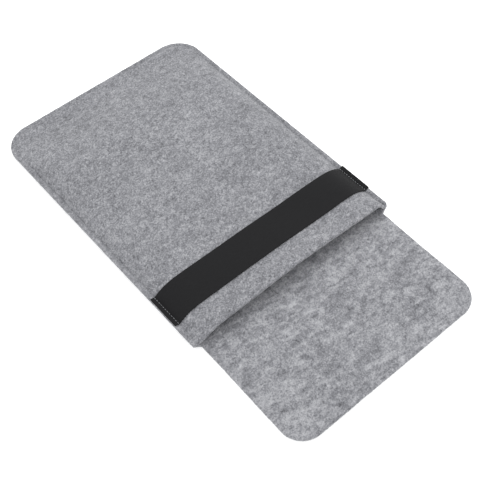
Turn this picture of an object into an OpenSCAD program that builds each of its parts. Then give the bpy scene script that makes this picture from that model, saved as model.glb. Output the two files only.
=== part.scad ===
// Felt laptop sleeve: a pocket sewn round three sides, a flap that folds over
// the mouth, and an elastic band across the front that holds the flap shut.
//
// +Z is up, X runs across the sleeve and Y along it, from the flap's free end
// to the closed end. The origin is under the middle of the opened-out sleeve.
// The pocket is held open, the flap lies flat and the band is at rest.

/* [Sleeve] */
// Width across the two side seams
sleeve_w = 243; // [220:1:270]
// Length of the pocket, from the mouth crease to the closed end
pocket_l = 335; // [300:1:380]
// Length of the flap sheet, from the mouth crease to its free end
flap_l = 129; // [110:1:160]
// How far each side of the flap is cut back from the side seams
flap_inset = 8; // [7:0.5:12]
// Corner radius at the closed end
end_r = 30; // [24:1:40]
// Corner radius of the flap
flap_r = 24; // [10:1:40]

/* [Felt] */
// Thickness of the felt
felt_t = 3; // [2:0.5:4]
// Height held open between the two panels
pocket_h = 12.5; // [10:0.5:16]
// How much higher the middle of the front panel's edge gapes at the mouth
mouth_flare = 3; // [0:0.5:3]
// How far the sewn edges stand off the table near the mouth
edge_lift = 5; // [1.5:0.5:6]

/* [Flap] */
// Distance from the mouth crease to the edge of the front panel
mouth_gap = 3; // [2:0.5:6]
// Distance between the mouth crease and the flap crease
spine_l = 19; // [18:0.5:26]

/* [Band] */
// Width of the elastic band
band_w = 38; // [20:1:50]
// Thickness of the elastic band
band_t = 1.2; // [0.8:0.1:2]
// Distance from the edge of the front panel to the band
band_setback = 27; // [15:1:60]

/* [Seam] */
// Width of the strip along each edge where the two panels lie together
seam_w = 5.5; // [5:0.5:8]
// Distance from the edge to the line of stitches
stitch_inset = 4.5; // [3:0.5:5]
// Distance from one stitch to the next
stitch_pitch = 3.2; // [2.5:0.1:5]
// Length of one stitch on the surface
stitch_l = 2.4; // [1.5:0.1:4]
// Thickness of the thread
thread_d = 0.6; // [0.4:0.1:1]

/* [Hidden] */

felt_grey = [0.60, 0.61, 0.63];
band_black = [0.05, 0.05, 0.055];
thread_grey = [0.72, 0.73, 0.75];

half_w = sleeve_w / 2;
flap_half_w = half_w - flap_inset;
crease_y = (flap_l - pocket_l) / 2;
end_y = crease_y + pocket_l;
mouth_y = crease_y + mouth_gap;
flap_end_y = crease_y - flap_l;
flap_crease_y = crease_y - spine_l;
corner_y = end_y - end_r;
band_y0 = mouth_y + band_setback;
band_y1 = band_y0 + band_w;

// Gap that keeps the band clear of the panel it lies on, so that it can lift
band_gap = 0.3;
// Width over which a sewn edge curls up off the table
curl_w = 22;
// Share of the edge lift that is left at the closed end
end_lift_share = 0.4;
// Length over which the edge lift starts, behind the flat mouth crease
lift_start_l = 12;
// Width of the rounded rise between the seam and the pocket's flat top
rise_w = 9;
// How sharply the rise turns over
rise_power = 1.3;
// Length over which the pocket closes down to the seam at the closed end
taper_l = 80;
// Share of the pocket's height that is a gentle arch from side to side
arch_share = 0.08;
// Half the width of the part of the mouth that gapes
flare_half_w = 85;
// Length over which the gape at the mouth dies away
flare_l = 26;
// Depth of a stitch in the felt
stitch_sink = 0.3;

// Number of steps from the middle to the seam, and round a corner
column_steps = 12;
corner_steps = 5;
// Longest step along the straight sides
row_step = 24;

function clamp01(v) = min(1, max(0, v));
function smooth(v) = let (c = clamp01(v)) c * c * (3 - 2 * c);

// Half the pocket's width at a distance along Y: narrow in front of the
// mouth, where it joins the flap, and rounded at the closed end
function pocket_half_w(y) =
    y < mouth_y ? flap_half_w + (half_w - flap_half_w) * (y - crease_y) / mouth_gap
    : y > corner_y ? half_w - end_r + sqrt(max(0, end_r ^ 2 - (y - corner_y) ^ 2))
    : half_w;

// Distance in from the pocket's side and end edges
function edge_gap(x, y) =
    let (dx = abs(x) - (half_w - end_r), dy = y - corner_y)
    (dx > 0 && dy > 0) ? end_r - norm([dx, dy]) : min(half_w - abs(x), end_y - y);

// Height of the back panel's underside: flat, with its sewn edges curled up
function back_low(x, y) =
    let (along = clamp01((y - crease_y) / pocket_l),
         lift = edge_lift * (1 - (1 - end_lift_share) * along)
                * smooth((y - crease_y) / lift_start_l),
         curl = clamp01(1 - edge_gap(x, y) / curl_w))
    lift * curl ^ 2;
function back_high(x, y) = back_low(x, y) + felt_t;

// How far the front panel stands above the back panel
function rise(gap) = gap <= 0 ? 0 : 1 - exp(-((gap / rise_w) ^ rise_power));
function bulge(x, y) =
    let (gape = 1 - smooth((y - mouth_y) / flare_l),
         side = rise(half_w - abs(x) - seam_w),
         arch = 1 - arch_share * (x / half_w) ^ 2,
         close = smooth((end_y - seam_w - y) / taper_l),
         flare = mouth_flare * gape * clamp01(1 - (x / flare_half_w) ^ 2) ^ 2)
    side * (pocket_h * arch * close + flare);
function front_low(x, y) = back_high(x, y) + bulge(x, y);
function front_high(x, y) = front_low(x, y) + felt_t;
function band_low(x, y) = front_high(x, y) + band_gap;
function band_high(x, y) = band_low(x, y) + band_t;
function tab_high(x, y) = front_high(x, y) + band_t;

// Points across the sleeve at one Y: both edges, both seams and what is between
function across(y) =
    let (edge = pocket_half_w(y), inner = edge - seam_w)
    concat([-edge],
           [for (i = [-column_steps : column_steps]) inner * sin(90 * i / column_steps)],
           [edge]);

// Rows along the front panel: the mouth, the band's edges, then even steps to
// the rounded corners
straight_rows = ceil((corner_y - band_y1) / row_step);
front_rows = concat(
    [mouth_y, mouth_y + flare_l / 3, mouth_y + flare_l * 2 / 3],
    [band_y0, (band_y0 + band_y1) / 2],
    [for (i = [0 : straight_rows]) band_y1 + (corner_y - band_y1) * i / straight_rows],
    [for (i = [1 : corner_steps]) corner_y + end_r * sin(90 * i / corner_steps)]);
back_rows = concat([crease_y], front_rows);
band_rows = [band_y0, (band_y0 + band_y1) / 2, band_y1];

// A closed sheet between two surfaces. rows holds the Y values, columns(y) the
// X values of one row, low(x, y) and high(x, y) the heights.
module sheet(rows, columns, low, high) {
    grid = [for (y = rows) for (x = columns(y)) [x, y]];
    count = len(grid);
    wide = len(columns(rows[0]));
    last = count - wide;
    cells = [for (j = [0 : len(rows) - 2]) for (i = [0 : wide - 2]) j * wide + i];
    rim = concat(
        [for (i = [0 : wide - 1]) i],
        [for (j = [1 : len(rows) - 1]) j * wide + wide - 1],
        [for (i = [1 : wide - 1]) last + wide - 1 - i],
        [for (j = [1 : len(rows) - 2]) last - j * wide]);
    points = concat(
        [for (p = grid) [p.x, p.y, low(p.x, p.y)]],
        [for (p = grid) [p.x, p.y, high(p.x, p.y)]]);
    under = [for (c = cells) each [[c, c + 1, c + wide + 1], [c, c + wide + 1, c + wide]]];
    over = [for (t = under) [t[0] + count, t[2] + count, t[1] + count]];
    walls = [for (k = [0 : len(rim) - 1])
        let (a = rim[k], b = rim[(k + 1) % len(rim)])
        each [[a, a + count, b + count], [a, b + count, b]]];
    polyhedron(points, concat(under, over, walls), convexity = 6);
}

// One stitch along +X, centred on the line where it lies
module stitch() {
    cube([stitch_l, thread_d, thread_d], center = true);
}

// Height of a thread that lies on the felt at a point, above or below it
function needle_z(x, y) = front_high(x, y) + thread_d / 2 - stitch_sink;
function bobbin_z(x, y) = back_low(x, y) - thread_d / 2 + stitch_sink;
function band_stitch_z(x, y) = tab_high(x, y) + thread_d / 2 - stitch_sink;

// Stitches along one side, from y0 to y1; side is -1 on the left
module side_stitches(side, y0, y1, height) {
    count = floor((y1 - y0) / stitch_pitch);
    x = side * (half_w - stitch_inset);
    for (i = [0 : count - 1]) {
        y = y0 + (i + 0.5) * (y1 - y0) / count;
        translate([x, y, height(x, y)]) rotate([0, 0, 90]) stitch();
    }
}

// Stitches on both sides of the band, along one side of the pocket
module side_seam(side, height) {
    side_stitches(side, mouth_y, band_y0, height);
    side_stitches(side, band_y1, corner_y, height);
}

// Stitches round both corners and along the closed end
module end_seam(height) {
    turn_r = end_r - stitch_inset;
    turn_l = turn_r * PI / 2;
    turn_count = round(turn_l / stitch_pitch);
    straight_l = sleeve_w - 2 * end_r;
    straight_count = round(straight_l / stitch_pitch);
    for (i = [0 : straight_count - 1]) {
        x = straight_l * ((i + 0.5) / straight_count - 0.5);
        y = end_y - stitch_inset;
        translate([x, y, height(x, y)]) stitch();
    }
    for (side = [-1, 1], i = [0 : turn_count - 1]) {
        angle = 90 * (i + 0.5) / turn_count;
        x = side * (half_w - end_r + turn_r * cos(angle));
        y = corner_y + turn_r * sin(angle);
        translate([x, y, height(x, y)]) rotate([0, 0, side * (angle + 90)]) stitch();
    }
}

// The sewn end of the band, flat on the side seam; side is -1 on the left
module band_tab(side) {
    columns = function(y) side > 0 ? [half_w - seam_w, half_w] : [-half_w, seam_w - half_w];
    sheet(band_rows, columns, function(x, y) front_high(x, y), function(x, y) tab_high(x, y));
}

module back_panel() {
    color(felt_grey)
        sheet(back_rows, function(y) across(y),
              function(x, y) back_low(x, y), function(x, y) back_high(x, y));
}

module front_panel() {
    color(felt_grey)
        sheet(front_rows, function(y) across(y),
              function(x, y) front_low(x, y), function(x, y) front_high(x, y));
}

// The felt between the two creases, which closes off the mouth
module crease_strip() {
    color(felt_grey)
        translate([-flap_half_w, flap_crease_y, 0])
            cube([2 * flap_half_w, spine_l, felt_t]);
}

// The flap's free part, with two rounded corners
module flap() {
    tuck_l = flap_crease_y - flap_end_y;
    color(felt_grey)
        translate([0, flap_end_y, 0])
            linear_extrude(felt_t) {
                for (side = [-1, 1])
                    translate([side * (flap_half_w - flap_r), flap_r])
                        circle(flap_r, $fn = 96);
                translate([flap_r - flap_half_w, 0])
                    square([2 * (flap_half_w - flap_r), flap_r]);
                translate([-flap_half_w, flap_r])
                    square([2 * flap_half_w, tuck_l - flap_r]);
            }
}

// The free span of the band, between its two sewn ends
module band() {
    reach = half_w - seam_w - band_gap;
    columns = function(y) [for (i = [-column_steps : column_steps])
        reach * sin(90 * i / column_steps)];
    color(band_black)
        sheet(band_rows, columns, function(x, y) band_low(x, y), function(x, y) band_high(x, y));
}

module band_end_left() {
    color(band_black) band_tab(-1);
}

module band_end_right() {
    color(band_black) band_tab(1);
}

module needle_thread_left() {
    color(thread_grey) side_seam(-1, function(x, y) needle_z(x, y));
}

module needle_thread_right() {
    color(thread_grey) side_seam(1, function(x, y) needle_z(x, y));
}

module needle_thread_end() {
    color(thread_grey) end_seam(function(x, y) needle_z(x, y));
}

// Under the sleeve the thread runs the whole side, as the band is on top
module bobbin_thread_left() {
    color(thread_grey)
        side_stitches(-1, mouth_y, corner_y, function(x, y) bobbin_z(x, y));
}

module bobbin_thread_right() {
    color(thread_grey)
        side_stitches(1, mouth_y, corner_y, function(x, y) bobbin_z(x, y));
}

module bobbin_thread_end() {
    color(thread_grey) end_seam(function(x, y) bobbin_z(x, y));
}

module band_stitches_left() {
    color(thread_grey)
        side_stitches(-1, band_y0, band_y1, function(x, y) band_stitch_z(x, y));
}

module band_stitches_right() {
    color(thread_grey)
        side_stitches(1, band_y0, band_y1, function(x, y) band_stitch_z(x, y));
}

back_panel();
crease_strip();
flap();
front_panel();
band();
band_end_left();
band_end_right();
needle_thread_left();
needle_thread_right();
needle_thread_end();
bobbin_thread_left();
bobbin_thread_right();
bobbin_thread_end();
band_stitches_left();
band_stitches_right();
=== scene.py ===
"""Looks for the felt laptop sleeve: two felt sheets, an elastic band and the seam's threads."""
import math

import bpy
import numpy as np
from mathutils import Matrix, Vector


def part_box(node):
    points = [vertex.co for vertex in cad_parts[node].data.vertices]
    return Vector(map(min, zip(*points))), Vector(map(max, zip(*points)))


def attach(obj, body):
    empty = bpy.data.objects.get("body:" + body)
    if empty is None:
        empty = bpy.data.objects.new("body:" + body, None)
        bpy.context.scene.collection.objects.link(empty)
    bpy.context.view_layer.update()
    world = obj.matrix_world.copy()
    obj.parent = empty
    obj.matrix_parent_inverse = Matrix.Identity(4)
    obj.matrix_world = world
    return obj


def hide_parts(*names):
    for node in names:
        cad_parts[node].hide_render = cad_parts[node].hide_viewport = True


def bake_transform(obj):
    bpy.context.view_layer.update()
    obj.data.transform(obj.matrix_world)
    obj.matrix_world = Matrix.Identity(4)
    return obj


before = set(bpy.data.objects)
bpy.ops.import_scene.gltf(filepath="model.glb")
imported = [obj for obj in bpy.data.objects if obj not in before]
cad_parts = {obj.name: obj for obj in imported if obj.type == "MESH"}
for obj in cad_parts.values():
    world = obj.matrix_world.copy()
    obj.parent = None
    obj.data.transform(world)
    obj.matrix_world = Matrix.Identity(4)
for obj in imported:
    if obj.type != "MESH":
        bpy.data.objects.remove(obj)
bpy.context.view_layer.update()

# ---------------------------------------------------------------- sizes from the frame

back_low_corner, back_high_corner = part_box("back_panel")
front_low_corner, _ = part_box("front_panel")
flap_low_corner, flap_high_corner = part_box("flap")
band_low_corner, band_high_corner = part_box("band")
tab_low_corner, tab_high_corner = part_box("band_end_right")

HALF_W = back_high_corner.x
FLAP_HALF_W = flap_high_corner.x
FELT_T = flap_high_corner.z
END_Y = back_high_corner.y
CREASE_Y = back_low_corner.y
MOUTH_Y = front_low_corner.y
FLAP_CREASE_Y = flap_high_corner.y
FLAP_END_Y = flap_low_corner.y
BAND_Y0, BAND_Y1 = band_low_corner.y, band_high_corner.y
SEAM_W = tab_high_corner.x - tab_low_corner.x

# ---------------------------------------------------------------- shape of the soft parts, in metres

END_R = 0.030            # corner radius at the closed end
CORNER_Y = END_Y - END_R   # where the pocket's rounded corners start
FLAP_R = 0.024           # corner radius of the flap
POCKET_H = 0.0125        # height held open inside the pocket
ARCH_SHARE = 0.08        # share of the pocket's height that is a gentle arch
TAPER_L = 0.080          # length over which the pocket closes at its end
RISE_W = 0.009           # width of the rounded rise beside the seam
RISE_POWER = 1.3         # how sharply the rise turns over
FRONT_WAVE = 0.00035     # gentle unevenness of the front sheet

MOUTH_FLARE = 0.003      # how much higher the middle of the mouth gapes
FLARE_HALF_W = 0.097     # half the width of the part that gapes
FLARE_X = 0.012          # its middle, a little to the right, where the pocket is fuller
FLARE_L = 0.026          # length over which the gape dies away
MOUTH_SLACK = 0.006      # how much wider the rise beside the left seam is at the mouth
MOUTH_STRAIN = 0.0057    # and how much narrower the one beside the right seam
MOUTH_CORNER_R = 0.003   # rounding of the front sheet's corners at the mouth

EDGE_LIFT = 0.005        # how far the sewn edges stand off the table near the mouth
END_LIFT_SHARE = 0.4     # share of that lift left at the closed end
CURL_W = 0.022           # width over which a sewn edge curls up
LIFT_START_L = 0.012     # length over which the lift starts behind the mouth crease
SIDE_LIFT_W = 0.008      # outside the flap the lift is there at once: width of that change

STEP_L = 0.003           # length over which the back sheet steps in to the flap's width
STEP_AHEAD = 0.4         # share of that step that lies on the flap's side of the mouth
FOLD_L = 0.008           # length of felt that bends at a crease
FLAP_ASIDE = 0.0015      # how far the flap's free end lies to the left
FLAP_SKEW = 0.0023       # how much longer the flap is on its left than on its right
SKEW_MIDDLE = 0.25       # share of that by which its middle is longer
FLAP_SETTLE_L = 0.050    # length over which the flap takes up its lift and its waves
FLAP_LIFT = 0.0008       # how far the free flap stands off the table
FLAP_WAVE = 0.0004       # and its gentle unevenness

GROOVE_DEPTH = 0.0007    # how deep the stitches pull into the felt
GROOVE_W = 0.0011        # how wide that groove is to each side
PRESS_DEPTH = 0.0008     # how much thinner each sheet is pressed at a sewn edge
PRESS_W = 0.0035         # width of the pressed part
RIM_R = 0.0011           # rounding of a cut felt edge
RIM_POWER = 2.5          # 2 would make it a half circle, more makes it squarer
FRAY = 0.00010           # unevenness of a cut felt edge
BAND_FRAY = 0.00002      # and of the elastic's edge
FRAY_SHARED = 0.8        # share of that unevenness that runs down the whole edge
FRAY_OWN = 0.4           # and share that each level of the edge has for itself

BAND_T = 0.0012          # thickness of the elastic
BAND_GAP = 0.0002        # air between the band and the felt
BAND_RIM = 0.0004        # rounding of the band's edges

STITCH_INSET = 0.0045    # from the edge to the line of stitches
STITCH_PITCH = 0.0032    # length of one stitch
SEAM_START = 0.002       # from the mouth to the first stitch
STITCH_VARIES = 0.1      # share by which a stitch's height varies
THREAD_R = 0.00022       # half the thread's thickness

# ---------------------------------------------------------------- fineness of the meshes

RIM_STEPS = 8            # faces round a cut edge, from the top to the underside
NEAR_EDGE_W = 0.022      # width of the strip beside an edge whose mesh keeps its fine steps
SLOPE_STEP = 0.0004      # distance over which a surface's slope is taken
END_CORNER_ROWS = 34     # rows round the corners of the closed end
FLAP_CORNER_ROWS = 30    # rows round the corners of the flap
FLAP_ROWS = 34           # rows along the flap's straight sides
FLAP_FOLD_ROWS = 28      # rows from the flap's bend to the middle of the strip
SPINE_ROWS = 22          # rows from the middle of the strip to the mouth crease
MOUTH_ROWS = 6           # rows from the mouth crease to the mouth
BAND_ROWS = 26           # rows across the band
THREAD_SIDES = 8         # faces round a thread
SHARP_ANGLE = math.radians(60)   # faces that meet at more than this keep a sharp edge

# Felt colours, from its darkest fibres to its lightest
FELT_DARK = (0.060, 0.062, 0.069)
FELT_MIDDLE = (0.217, 0.220, 0.238)
FELT_LIGHT = (0.464, 0.468, 0.490)

# The elastic's yarn and the thread's plies, dark and light
ELASTIC_DARK = (0.008, 0.008, 0.0085)
ELASTIC_LIGHT = (0.018, 0.018, 0.0195)
THREAD_DARK = (0.22, 0.225, 0.24)
THREAD_LIGHT = (0.40, 0.41, 0.43)

rng = np.random.default_rng(7)


def smooth(v):
    """0 up to 0, 1 from 1 on, and a soft step between."""
    c = np.clip(v, 0.0, 1.0)
    return c * c * (3.0 - 2.0 * c)


def ripple(x, y, seed, longest=0.14, shortest=0.045, waves=7):
    """A gentle unevenness between about -1 and 1, the same on each run."""
    r = np.random.default_rng(seed)
    total = np.zeros_like(x)
    for _ in range(waves):
        length = r.uniform(shortest, longest)
        angle = r.uniform(0, math.pi)
        phase = r.uniform(0, 2 * math.pi)
        along = x * math.cos(angle) + y * math.sin(angle)
        total = total + np.sin(2 * math.pi * along / length + phase)
    return total / waves ** 0.5


# ---------------------------------------------------------------- the pocket's surfaces

def edge_gap(x, y):
    """Distance in from the pocket's side and end edges."""
    dx = np.abs(x) - (HALF_W - END_R)
    dy = y - CORNER_Y
    corner = END_R - np.hypot(np.maximum(dx, 0), np.maximum(dy, 0))
    straight = np.minimum(HALF_W - np.abs(x), END_Y - y)
    return np.where((dx > 0) & (dy > 0), corner, straight)


def back_low(x, y):
    """Underside of the back sheet: flat, with its sewn edges curled up."""
    along = np.clip((y - CREASE_Y) / (END_Y - CREASE_Y), 0, 1)
    beside_flap = smooth((np.abs(x) - FLAP_HALF_W) / SIDE_LIFT_W + 0.5)
    start = smooth((y - CREASE_Y) / LIFT_START_L + beside_flap)
    lift = EDGE_LIFT * (1 - (1 - END_LIFT_SHARE) * along) * start
    return lift * np.clip(1 - edge_gap(x, y) / CURL_W, 0, 1) ** 2


def back_mid(x, y):
    """Middle of the back sheet's felt."""
    return back_low(x, y) + FELT_T / 2


def rise(gap, width):
    """0 at the seam, rounding over to 1 on the pocket's top."""
    return 1 - np.exp(-(np.maximum(gap, 0) / width) ** RISE_POWER)


def front_mid(x, y):
    """Middle of the front panel's felt."""
    gape = 1 - smooth((y - MOUTH_Y) / FLARE_L)
    width = RISE_W + gape * np.where(x < 0, MOUTH_SLACK, -MOUTH_STRAIN)
    side = rise(HALF_W - np.abs(x) - SEAM_W, width)
    arch = 1 - ARCH_SHARE * (x / HALF_W) ** 2
    close = smooth((END_Y - SEAM_W - y) / TAPER_L)
    flare = MOUTH_FLARE * gape * np.clip(1 - ((x - FLARE_X) / FLARE_HALF_W) ** 2, 0, 1) ** 2
    uneven = FRONT_WAVE * ripple(x, y, seed=3) * close
    return back_low(x, y) + 1.5 * FELT_T + side * (POCKET_H * arch * close + flare + uneven)


def slope(height, x, y):
    """How fast a height rises along X and along Y."""
    step = SLOPE_STEP
    return ((height(x + step, y) - height(x - step, y)) / (2 * step),
            (height(x, y + step) - height(x, y - step)) / (2 * step))


def front_top(x, y):
    """Height of the front panel's upper face."""
    hx, hy = slope(front_mid, x, y)
    return front_mid(x, y) + FELT_T / 2 * np.sqrt(1 + hx ** 2 + hy ** 2) - seam_groove(x, y)


def seam_groove(x, y):
    """How far the seam pulls the face of the felt in: a groove at the stitches and a pressed edge."""
    gap = edge_gap(x, y)
    groove = GROOVE_DEPTH * np.exp(-((gap - STITCH_INSET) / GROOVE_W) ** 2)
    return groove + PRESS_DEPTH * np.exp(-(gap / PRESS_W) ** 2)


def flat(x, y):
    """No groove at all."""
    return np.zeros_like(x)


def back_face(x, y):
    """Height of the back sheet's underside, with the stitches' groove."""
    return back_low(x, y) + seam_groove(x, y)


def lying(x, y):
    """Middle of the flap's felt, which lies almost flat."""
    free = smooth((FLAP_CREASE_Y - y) / FLAP_SETTLE_L)
    return FELT_T / 2 + free * (FLAP_LIFT + FLAP_WAVE * ripple(x, y, seed=11))


def back_sheet_mid(x, y):
    """The back sheet's middle. The curl of its edges dies away past the mouth crease."""
    fade = smooth(1 - (CREASE_Y - y) / FOLD_L)
    return np.where(y < CREASE_Y, lying(x, y) + fade * back_low(x, CREASE_Y), back_mid(x, y))


def band_slant(x, y):
    """How much taller a layer measures upwards than across its own thickness."""
    hx, hy = slope(front_mid, x, y)
    return np.sqrt(1 + hx ** 2 + hy ** 2)


def band_mid(x, y):
    """Middle of the band's thickness."""
    return front_top(x, y) + (BAND_GAP + BAND_T / 2) * band_slant(x, y)


def band_top(x, y):
    """Height of the band's upper face."""
    return front_top(x, y) + (BAND_GAP + BAND_T) * band_slant(x, y)


# ---------------------------------------------------------------- meshes

def graded(length, first=0.0006, fine=0.009, growth=1.15, largest=0.004):
    """Distances from 0 to length: fine steps at the start, growing to the largest."""
    places = [0.0]
    step = first
    while places[-1] < length:
        if places[-1] > fine:
            step = min(step * growth, largest)
        places.append(places[-1] + step)
    return np.array(places) * length / places[-1]


def row_columns(edge):
    """X places across a row whose half width is edge, fine near both edges and as many in each row."""
    steps = graded(HALF_W)
    near = steps[steps < NEAR_EDGE_W]
    far = steps[steps >= NEAR_EDGE_W] - near[-1]
    inner = edge - near[-1]
    half = np.concatenate([edge - near, inner - far * inner / far[-1]])
    return np.concatenate([-half, half[-2::-1]])


def rounded_half_w(full, radius, over):
    """Half the width of an outline at a distance past the start of its rounded corners."""
    if over <= 0:
        return full
    return full - radius + math.sqrt(max(0.0, radius ** 2 - over ** 2))


def corner_steps(radius, count):
    """Distances past the start of a rounded corner, in even angles, without the first."""
    return [radius * math.sin(math.radians(90 * k / count)) for k in range(1, count + 1)]


def pocket_half_w(y):
    """Half the pocket's width, without the rim, which is round at the closed end."""
    return rounded_half_w(HALF_W - RIM_R, END_R - RIM_R, y - CORNER_Y)


def front_half_w(y):
    """The front sheet has the pocket's width and small round corners at the mouth."""
    return rounded_half_w(pocket_half_w(y), MOUTH_CORNER_R, MOUTH_Y + RIM_R + MOUTH_CORNER_R - y)


def back_half_w(y):
    """The back sheet steps in from the pocket's width to the flap's at the mouth."""
    full = float(smooth((y - MOUTH_Y) / STEP_L + STEP_AHEAD))
    return FLAP_HALF_W - RIM_R + (pocket_half_w(y) - FLAP_HALF_W + RIM_R) * full


def uneven_flap(plan):
    """The flap isn't quite square: its free end lies to the left, and its left side is the longer."""
    x, y = plan[..., 0], plan[..., 1]
    share = np.clip((FLAP_CREASE_Y - FOLD_L - y) / (FLAP_CREASE_Y - FOLD_L - FLAP_END_Y), 0, 1)
    longer = FLAP_SKEW * (SKEW_MIDDLE - 0.5 * x / FLAP_HALF_W)
    return np.stack([x - share * FLAP_ASIDE, y - share * longer], -1)


def flap_half_w(y):
    """Half the flap's width, without the rim, which is round at its free end."""
    return rounded_half_w(FLAP_HALF_W - RIM_R, FLAP_R - RIM_R, FLAP_END_Y + FLAP_R - y)


def pocket_rows(start):
    """Y places from start to the closed end."""
    straight = start + graded(CORNER_Y - start)
    return list(straight) + [CORNER_Y + d for d in corner_steps(END_R - RIM_R, END_CORNER_ROWS)]


def grid(half_w, rows):
    """Points of a plan: rows of Y places, each as wide as half_w says."""
    return np.array([[(x, y) for x in row_columns(half_w(y))] for y in rows])


def rim_profile(sewn):
    """Levels of a cut edge, as (height, reach) pairs: height is 1 at the top face and -1 at the low one.
    The edge is rounded, except beside a face that is sewn to another sheet. sewn is 1 for the top face,
    -1 for the low one and 0 for neither."""
    profile = []
    for k in range(1, RIM_STEPS):
        height = math.cos(math.pi * k / RIM_STEPS)
        rounded = (1 - abs(height) ** RIM_POWER) ** (1 / RIM_POWER)
        profile.append((height, 1.0 if height * sewn > 0 else rounded))
    return profile


def square_end(sides, cut, outward, reach, rough):
    """Takes the rounded rim off one side, so that it meets the next piece with a square end."""
    count = len(reach)
    first = sum(len(side) for side in sides[:cut])
    last = first + len(sides[cut])
    reach[np.arange(first + 1, last) % count] = 0.0
    rough[np.arange(first, last + 1) % count] = 0.0
    for corner, neighbour in ((first, first - 1), (last, last + 1)):
        outward[corner % count] = outward[neighbour % count]


def rim_rings(edge_top, edge_low, outward, reach, rough, sewn):
    """Rings of points round a cut edge, from its top to its underside."""
    count = len(reach)
    ragged = rng.normal(0, FRAY_SHARED, count)
    rings = []
    for height, out in rim_profile(sewn):
        uneven = (ragged + rng.normal(0, FRAY_OWN, count)) * rough
        ring = edge_top * (1 + height) / 2 + edge_low * (1 - height) / 2
        rings.append(ring + outward * (reach * out + uneven)[:, None])
    return rings


def sheet_faces(index, loop, ring_count):
    """Faces of a closed sheet whose points are its top's, its underside's and then its rings'."""
    count = index.size
    a, b, c, d = index[:-1, :-1], index[:-1, 1:], index[1:, 1:], index[1:, :-1]
    faces = [np.stack([a, b, c, d], -1).reshape(-1, 4)]
    faces.append(np.stack([a, d, c, b], -1).reshape(-1, 4) + count)
    around = np.arange(len(loop))
    loops = [loop] + [2 * count + k * len(loop) + around for k in range(ring_count)] + [loop + count]
    for over, under in zip(loops[:-1], loops[1:]):
        faces.append(np.stack([over, under, np.roll(under, -1), np.roll(over, -1)], -1))
    return np.concatenate(faces).tolist()


def sheet_mesh(name, plan, mid, thickness, top_groove=flat, low_groove=flat, rim=RIM_R, fray=0.0,
               sewn=0, cut=None):
    """A closed sheet of cloth with a rounded cut edge. plan is a grid of points that lies inside the
    outline by rim, mid gives the height of the middle of the cloth, and the grooves how far its faces are
    pulled in. cut is the plan's side, 0 to 3 from its first row on, that meets the next piece squarely."""
    x, y = plan[..., 0], plan[..., 1]
    hx, hy = slope(mid, x, y)
    normal = np.stack([-hx, -hy, np.ones_like(hx)], -1)
    normal /= np.linalg.norm(normal, axis=-1, keepdims=True)
    middle = np.stack([x, y, mid(x, y)], -1)
    top = (middle + normal * (thickness / 2 - top_groove(x, y))[..., None]).reshape(-1, 3)
    low = (middle - normal * (thickness / 2 - low_groove(x, y))[..., None]).reshape(-1, 3)
    index = np.arange(x.size).reshape(x.shape)
    sides = [index[0, :-1], index[:-1, -1], index[-1, :0:-1], index[:0:-1, 0]]
    loop = np.concatenate(sides)
    edge = middle.reshape(-1, 3)[loop]
    outward = np.cross(np.roll(edge, -1, 0) - np.roll(edge, 1, 0), normal.reshape(-1, 3)[loop])
    outward /= np.linalg.norm(outward, axis=-1, keepdims=True)
    reach, rough = np.full(len(loop), rim), np.full(len(loop), fray)
    if cut is not None:
        square_end(sides, cut, outward, reach, rough)
    rings = rim_rings(top[loop], low[loop], outward, reach, rough, sewn)
    return poly_piece(name, np.concatenate([top, low] + rings), sheet_faces(index, loop, len(rings)))


def poly_piece(name, points, faces):
    """An object with smooth faces, creased where they meet at a sharp angle."""
    mesh = bpy.data.meshes.new(name)
    mesh.from_pydata(points.tolist(), [], faces)
    mesh.polygons.foreach_set("use_smooth", [True] * len(mesh.polygons))
    mesh.set_sharp_from_angle(angle=SHARP_ANGLE)
    mesh.update()
    piece = bpy.data.objects.new(name, mesh)
    bpy.context.scene.collection.objects.link(piece)
    return piece


def tube(points, radius):
    """Points and faces of a thread along a path, closed at both ends."""
    sides = THREAD_SIDES
    points = np.array(points)
    along = np.gradient(points, axis=0)
    along /= np.linalg.norm(along, axis=1, keepdims=True)
    side = np.cross(along, (0.0, 0.0, 1.0))
    side /= np.linalg.norm(side, axis=1, keepdims=True)
    up = np.cross(side, along)
    angles = 2 * math.pi * np.arange(sides) / sides
    rings = (points[:, None] + radius * (np.cos(angles)[None, :, None] * side[:, None]
                                         + np.sin(angles)[None, :, None] * up[:, None]))
    faces = []
    for ring in range(len(points) - 1):
        for k in range(sides):
            a, b = ring * sides + k, ring * sides + (k + 1) % sides
            faces.append((a, a + sides, b + sides, b))
    for k in range(1, sides - 1):
        faces.append((0, k, k + 1))
        last = (len(points) - 1) * sides
        faces.append((last, last + k + 1, last + k))
    return rings.reshape(-1, 3), faces


# ---------------------------------------------------------------- the threads

TURN_R = END_R - STITCH_INSET
TURN_L = TURN_R * math.pi / 2
STRAIGHT_L = 2 * (HALF_W - END_R)

# One stitch: shares of its length, and how far above the felt the thread is there, in metres.
# It starts and ends down its holes.
STITCH_PROFILE = ((0.0, -0.0010), (0.14, -0.0005), (0.28, 0.00008),
                  (0.5, 0.00018), (0.72, 0.00008), (0.86, -0.0005))


def side_route(side, start):
    """The seam's line along one side, as the place at a distance from its start; side is -1 on the left."""
    return lambda distance: (side * (HALF_W - STITCH_INSET), start + distance)


def end_route(distance):
    """The seam's line round both corners and along the closed end, from left to right."""
    if distance < TURN_L:
        angle = distance / TURN_R
        return -(HALF_W - END_R) - TURN_R * math.cos(angle), CORNER_Y + TURN_R * math.sin(angle)
    if distance < TURN_L + STRAIGHT_L:
        return distance - TURN_L - (HALF_W - END_R), END_Y - STITCH_INSET
    angle = (distance - TURN_L - STRAIGHT_L) / TURN_R
    return HALF_W - END_R + TURN_R * math.sin(angle), CORNER_Y + TURN_R * math.cos(angle)


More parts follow.
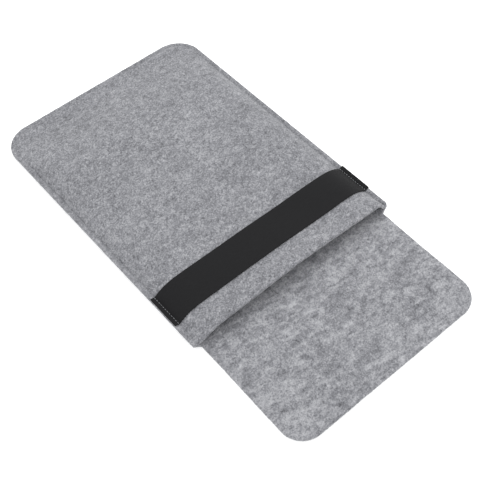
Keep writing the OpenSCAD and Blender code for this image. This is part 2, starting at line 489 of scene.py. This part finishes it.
def thread_run(route, length, height, upward):
    """Points of one run of thread. height gives the face that it lies on, and upward is -1 underneath."""
    count = max(1, round(length / STITCH_PITCH))
    pitch = length / count
    places = [(i + u, rise_by) for i in range(count) for u, rise_by in STITCH_PROFILE]
    places.append((count, STITCH_PROFILE[0][1]))
    points = []
    for at, above in places:
        x, y = route(at * pitch)
        z = float(height(np.array(x), np.array(y)))
        points.append((x, y, z + upward * above * rng.uniform(1 - STITCH_VARIES, 1 + STITCH_VARIES)))
    return points


def thread_piece(name, runs, node):
    """One thread in one or more runs, which stands for a CAD node."""
    points, faces, start = [], [], 0
    for run in runs:
        ring_points, ring_faces = tube(run, THREAD_R)
        points.append(ring_points)
        faces += [tuple(start + i for i in face) for face in ring_faces]
        start += len(ring_points)
    piece = poly_piece(name, np.concatenate(points), faces)
    piece.data.materials.append(thread_material)
    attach(piece, "pocket")
    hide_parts(node)


def add_threads():
    """The seam's two threads and the stitches across the band's ends."""
    first = MOUTH_Y + SEAM_START
    for side, word in ((-1, "left"), (1, "right")):
        before_band = thread_run(side_route(side, first), BAND_Y0 - first, front_top, 1)
        beyond_band = thread_run(side_route(side, BAND_Y1), CORNER_Y - BAND_Y1, front_top, 1)
        thread_piece("needle_run_" + word, [before_band, beyond_band], "needle_thread_" + word)
        underneath = thread_run(side_route(side, first), CORNER_Y - first, back_face, -1)
        thread_piece("bobbin_run_" + word, [underneath], "bobbin_thread_" + word)
        over_band = thread_run(side_route(side, BAND_Y0), BAND_Y1 - BAND_Y0, band_top, 1)
        thread_piece("band_stitching_" + word, [over_band], "band_stitches_" + word)
    end_l = 2 * TURN_L + STRAIGHT_L
    thread_piece("needle_run_end", [thread_run(end_route, end_l, front_top, 1)], "needle_thread_end")
    thread_piece("bobbin_run_end", [thread_run(end_route, end_l, back_face, -1)], "bobbin_thread_end")


# ---------------------------------------------------------------- the felt and the band

def add_front_sheet():
    """The front panel's felt, from the mouth to the closed end."""
    rows = pocket_rows(MOUTH_Y + RIM_R)
    piece = sheet_mesh("front_sheet", grid(front_half_w, rows), front_mid, FELT_T,
                       top_groove=seam_groove, fray=FRAY, sewn=-1)
    piece.data.materials.append(outer_felt)
    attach(piece, "pocket")
    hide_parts("front_panel")


def add_back_sheet(cut_y):
    """The pocket's back, as far as the middle of the strip between the creases."""
    rows = list(np.linspace(cut_y, CREASE_Y, SPINE_ROWS)[:-1])
    rows += list(np.linspace(CREASE_Y, MOUTH_Y, MOUTH_ROWS)[:-1])
    rows += pocket_rows(MOUTH_Y)
    piece = sheet_mesh("back_sheet", grid(back_half_w, rows), back_sheet_mid, FELT_T,
                       low_groove=seam_groove, fray=FRAY, sewn=1, cut=0)
    piece.data.materials.append(inner_felt)
    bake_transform(piece)
    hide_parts("back_panel")


def add_flap_sheet(cut_y):
    """The flap, from the middle of the strip between the creases to its free end."""
    turn = [FLAP_END_Y + FLAP_R - d for d in corner_steps(FLAP_R - RIM_R, FLAP_CORNER_ROWS)]
    straight = np.linspace(FLAP_END_Y + FLAP_R, FLAP_CREASE_Y - FOLD_L, FLAP_ROWS)
    fold = np.linspace(FLAP_CREASE_Y - FOLD_L, cut_y, FLAP_FOLD_ROWS)[1:]
    rows = turn[::-1] + list(straight) + list(fold)
    plan = uneven_flap(grid(flap_half_w, rows))
    piece = sheet_mesh("flap_sheet", plan, lying, FELT_T, fray=FRAY, cut=2)
    piece.data.materials.append(inner_felt)
    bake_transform(piece)
    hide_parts("flap", "crease_strip")


def add_band_half(side, word):
    """One half of the band, from its sewn end to the middle; side is -1 on the left."""
    reach = HALF_W - BAND_RIM
    outer = graded(reach, first=0.0005, fine=0.010, largest=0.003)
    columns = sorted(side * (reach - outer))
    across = np.linspace(BAND_Y0 + BAND_RIM, BAND_Y1 - BAND_RIM, BAND_ROWS)
    plan = np.array([[(x, y) for x in columns] for y in across])
    piece = sheet_mesh("elastic_" + word, plan, band_mid, BAND_T, rim=BAND_RIM, fray=BAND_FRAY,
                       cut=1 if side < 0 else 3)
    piece.data.materials.append(elastic_material)
    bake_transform(piece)
    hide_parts("band", "band_end_" + word)


# ---------------------------------------------------------------- materials

SEED_SHIFT = (7.3, 3.1, 5.7)             # how far one seed's noise lies from the next one's
STRAND_ANGLES = (12, 48, 84, 120, 156)   # degrees between the felt's fibres and the sleeve's width
RIB_PITCH = 0.0011                       # metres between the elastic's ribs
PICK_PITCH = 0.0009                      # metres between the elastic's cross threads
PLY_PITCH = 0.0007                       # metres between the turns of the thread's plies


class Shader:
    """A material's node tree, with one method for each kind of node that the materials use."""

    def __init__(self, name):
        self.material = bpy.data.materials.new(name)
        self.material.use_nodes = True
        self.tree = self.material.node_tree
        self.surface = self.tree.nodes["Principled BSDF"]
        self.place = self.tree.nodes.new("ShaderNodeTexCoord").outputs["Object"]

    def set(self, **values):
        """Values of the surface's own sockets, with spaces written as underscores."""
        for name, value in values.items():
            self.surface.inputs[name.replace("_", " ")].default_value = value

    def link(self, value, socket):
        """Puts a number or another node's result into a socket."""
        if isinstance(value, (int, float)):
            socket.default_value = value
        else:
            self.tree.links.new(value, socket)

    def noise(self, size, seed, detail=2.0, turn=0.0, distortion=0.0):
        """Noise from 0 to 1. size is the length of its features along X, Y and Z, in metres."""
        mapping = self.tree.nodes.new("ShaderNodeMapping")
        mapping.vector_type = "POINT"
        rotate = self.tree.nodes.new("ShaderNodeVectorRotate")
        rotate.rotation_type = "Z_AXIS"
        rotate.inputs["Angle"].default_value = math.radians(turn)
        self.tree.links.new(self.place, rotate.inputs["Vector"])
        self.tree.links.new(rotate.outputs[0], mapping.inputs["Vector"])
        mapping.inputs["Scale"].default_value = [1 / length for length in size]
        mapping.inputs["Location"].default_value = [seed * shift for shift in SEED_SHIFT]
        noise = self.tree.nodes.new("ShaderNodeTexNoise")
        noise.inputs["Scale"].default_value = 1.0
        noise.inputs["Detail"].default_value = detail
        noise.inputs["Distortion"].default_value = distortion
        self.tree.links.new(mapping.outputs[0], noise.inputs["Vector"])
        return noise.outputs["Fac"]

    def calc(self, operation, a, b=0.0, c=0.0):
        """The result of a math node, whose inputs are numbers or other nodes' results."""
        node = self.tree.nodes.new("ShaderNodeMath")
        node.operation = operation
        for value, socket in zip((a, b, c), node.inputs):
            self.link(value, socket)
        return node.outputs[0]

    def spread(self, value, low, high):
        """The value stretched so that low becomes 0 and high becomes 1."""
        node = self.tree.nodes.new("ShaderNodeMapRange")
        self.link(value, node.inputs["Value"])
        node.inputs["From Min"].default_value = low
        node.inputs["From Max"].default_value = high
        return node.outputs[0]

    def total(self, terms):
        """The sum of (value, weight) terms, each value counted from its middle, 0.5."""
        result = 0.0
        for value, weight in terms:
            centred = self.calc("SUBTRACT", value, 0.5)
            result = self.calc("MULTIPLY_ADD", centred, weight, result)
        return result

    def ramp(self, value, stops):
        """A colour for a value from 0 to 1, between (place, colour) stops."""
        node = self.tree.nodes.new("ShaderNodeValToRGB")
        elements = node.color_ramp.elements
        while len(elements) < len(stops):
            elements.new(0.5)
        for element, (at, colour) in zip(elements, stops):
            element.position = at
            element.color = (*colour, 1.0)
        self.link(value, node.inputs["Fac"])
        return node.outputs["Color"]

    def bump(self, height, distance, strength):
        """Relief from a height, over a distance in metres."""
        node = self.tree.nodes.new("ShaderNodeBump")
        node.inputs["Strength"].default_value = strength
        node.inputs["Distance"].default_value = distance
        self.link(height, node.inputs["Height"])
        self.link(node.outputs["Normal"], self.surface.inputs["Normal"])

    def colour(self, value):
        """Sets the surface's base colour."""
        self.link(value, self.surface.inputs["Base Color"])


def make_felt(name, clumps_and_painted_sheen):
    """Pressed melange felt: short grey, dark and white fibres that lie every way. The second argument is
    how strongly they gather in soft clumps, swirls and wisps, which is more on the felt's inner face. On
    that face the pale swirls and wisps and its lighter tone are partly painted sheen."""
    s = Shader(name)
    strands = [s.noise((0.0060, 0.0011, 0.0016), detail=2.0, seed=k, turn=angle, distortion=0.4)
               for k, angle in enumerate(STRAND_ANGLES)]
    crossing = strands[0]
    for strand in strands[1:3]:
        crossing = s.calc("MAXIMUM", crossing, strand)
    under = s.calc("MINIMUM", strands[3], strands[4])
    grains = s.noise((0.0017,) * 3, detail=2.0, seed=21)
    specks = s.spread(s.noise((0.0024,) * 3, detail=1.0, seed=25), 0.30, 0.42)
    clumps = s.noise((0.0065,) * 3, detail=2.0, seed=31, distortion=0.6)
    swirls = s.noise((0.015,) * 3, detail=2.0, seed=41, distortion=1.0)
    wisps = s.noise((0.032, 0.009, 0.015), detail=3.0, seed=61, turn=8, distortion=1.4)
    clouds = s.noise((0.085,) * 3, detail=1.0, seed=51)
    fine = 1.0 - 0.15 * clumps_and_painted_sheen
    # On the inner face the pale swirls and wisps and the lighter tone are partly the fibres' own colour and
    # partly painted sheen.
    tone = s.total([(crossing, fine), (under, fine), (grains, 0.85 * fine), (specks, 0.16),
                    (clumps, 0.55 + 0.1 * clumps_and_painted_sheen), (swirls, 0.2 + 0.35 * clumps_and_painted_sheen),
                    (wisps, 0.15 + 0.55 * clumps_and_painted_sheen), (clouds, 0.2)])
    tone = s.calc("ADD", tone, 0.43 + 0.08 * clumps_and_painted_sheen)
    s.colour(s.ramp(tone, [(0.0, FELT_DARK), (0.5, FELT_MIDDLE), (1.0, FELT_LIGHT)]))
    relief = s.total([(crossing, 1.0), (grains, 0.7), (clumps, 0.6)])
    s.bump(relief, distance=0.0009, strength=0.55)
    s.set(Roughness=0.95, Specular_IOR_Level=0.15, Sheen_Weight=0.25, Sheen_Roughness=0.6)
    return s.material


def make_elastic():
    """Woven elastic: fine ribs along the band, crossed by the weave's picks."""
    s = Shader("elastic")
    parts = s.tree.nodes.new("ShaderNodeSeparateXYZ")
    s.link(s.place, parts.inputs[0])
    ribs = s.calc("SINE", s.calc("MULTIPLY", parts.outputs["Y"], 2 * math.pi / RIB_PITCH))
    picks = s.calc("SINE", s.calc("MULTIPLY", parts.outputs["X"], 2 * math.pi / PICK_PITCH))
    weave = s.calc("MULTIPLY_ADD", s.calc("MULTIPLY", ribs, picks), 0.25, 0.5)
    yarn = s.noise((0.004, 0.0007, 0.001), detail=2.0, seed=3)
    tone = s.calc("ADD", s.total([(weave, 0.35), (yarn, 0.6)]), 0.5)
    s.colour(s.ramp(tone, [(0.0, ELASTIC_DARK), (1.0, ELASTIC_LIGHT)]))
    s.bump(s.total([(weave, 1.0), (yarn, 0.5)]), distance=0.00025, strength=0.5)
    s.set(Roughness=0.8, Specular_IOR_Level=0.12, Sheen_Weight=0.05, Sheen_Roughness=0.5)
    return s.material


def make_thread():
    """Light grey sewing thread with its plies twisted round each other."""
    s = Shader("thread")
    parts = s.tree.nodes.new("ShaderNodeSeparateXYZ")
    s.link(s.place, parts.inputs[0])
    slant = s.calc("ADD", s.calc("ADD", parts.outputs["X"], parts.outputs["Y"]), parts.outputs["Z"])
    plies = s.calc("SINE", s.calc("MULTIPLY", slant, 2 * math.pi / PLY_PITCH))
    twist = s.calc("MULTIPLY_ADD", plies, 0.5, 0.5)
    s.colour(s.ramp(twist, [(0.0, THREAD_DARK), (1.0, THREAD_LIGHT)]))
    s.bump(twist, distance=0.0001, strength=0.6)
    s.set(Roughness=0.7, Specular_IOR_Level=0.3, Sheen_Weight=0.2)
    return s.material


def make_floor():
    """A white light table."""
    s = Shader("floor")
    s.set(Base_Color=(0.93, 0.93, 0.93, 1.0), Roughness=1.0, Specular_IOR_Level=0.0)
    s.set(Emission_Color=(1.0, 1.0, 1.0, 1.0), Emission_Strength=FLOOR_GLOW)
    return s.material


# ---------------------------------------------------------------- camera, floor and lights

CAMERA_AZIMUTH = -36.57   # degrees round from the flap's side, to the left
CAMERA_ELEVATION = 53.81
CAMERA_ROLL = -3.99
CAMERA_DISTANCE = 0.9228
CAMERA_LENS = 71.15       # millimetres
CAMERA_SENSOR_W = 36.0    # millimetres
CAMERA_CLIP = 0.01        # nearest distance that it shows
TARGET_X = -0.0112        # the point on the table that it looks at
TARGET_FROM_CREASE = 0.0714
FLOOR_GAP = 0.0002        # keeps the floor and the felt's underside out of one plane
FLOOR_GLOW = 0.4          # light that comes up through the floor, as on a light table
FLOOR_REACH = 4.0         # half the floor's width
STUDIO_GLOW = 1.0         # even light from all round


def add_camera():
    """The photo's view of the sleeve."""
    azimuth = math.radians(CAMERA_AZIMUTH)
    elevation = math.radians(CAMERA_ELEVATION)
    back = Vector((math.sin(azimuth) * math.cos(elevation), -math.cos(azimuth) * math.cos(elevation),
                   math.sin(elevation)))
    target = Vector((TARGET_X, CREASE_Y + TARGET_FROM_CREASE, 0.0))
    camera = bpy.data.objects.new("camera", bpy.data.cameras.new("camera"))
    camera.data.lens = CAMERA_LENS
    camera.data.sensor_width = CAMERA_SENSOR_W
    camera.data.clip_start = CAMERA_CLIP
    camera.location = target + back * CAMERA_DISTANCE
    turn = back.to_track_quat("Z", "Y").to_matrix().to_4x4()
    camera.rotation_euler = (turn @ Matrix.Rotation(math.radians(CAMERA_ROLL), 4, "Z")).to_euler()
    bpy.context.scene.collection.objects.link(camera)
    bpy.context.scene.camera = camera


def add_floor():
    """The floor, just under the sleeve."""
    mesh = bpy.data.meshes.new("floor")
    corners = [(x * FLOOR_REACH, y * FLOOR_REACH) for x, y in ((-1, -1), (1, -1), (1, 1), (-1, 1))]
    mesh.from_pydata([(x, y, -FLOOR_GAP) for x, y in corners], [], [(0, 1, 2, 3)])
    piece = bpy.data.objects.new("floor", mesh)
    piece.data.materials.append(make_floor())
    bpy.context.scene.collection.objects.link(piece)
    return piece


def add_light(name, place, size, power):
    """A soft square lamp that faces the sleeve."""
    light = bpy.data.objects.new(name, bpy.data.lights.new(name, "AREA"))
    light.data.size = size
    light.data.energy = power
    light.location = place
    light.rotation_euler = Vector(place).to_track_quat("Z", "Y").to_euler()
    bpy.context.scene.collection.objects.link(light)


def add_world():
    """White light from all round."""
    world = bpy.data.worlds.new("studio")
    world.use_nodes = True
    background = world.node_tree.nodes["Background"]
    background.inputs["Color"].default_value = (1.0, 1.0, 1.0, 1.0)
    background.inputs["Strength"].default_value = STUDIO_GLOW
    bpy.context.scene.world = world


bpy.context.scene.view_settings.view_transform = "Standard"
add_camera()
add_world()
add_light("key", (0.9, 0.5, 1.3), size=1.0, power=8.0)
add_light("fill", (-1.0, -0.9, 1.2), size=1.6, power=2.0)
floor = add_floor()

outer_felt = make_felt("felt_outer_face", clumps_and_painted_sheen=0.0)
# The inner face's lighter tone and pale swirls are partly painted sheen.
inner_felt = make_felt("felt_inner_face", clumps_and_painted_sheen=1.0)
elastic_material = make_elastic()
thread_material = make_thread()

spine_cut_y = (CREASE_Y - FOLD_L + FLAP_CREASE_Y) / 2
add_front_sheet()
add_back_sheet(spine_cut_y)
add_flap_sheet(spine_cut_y)
add_band_half(-1, "left")
add_band_half(1, "right")
add_threads()
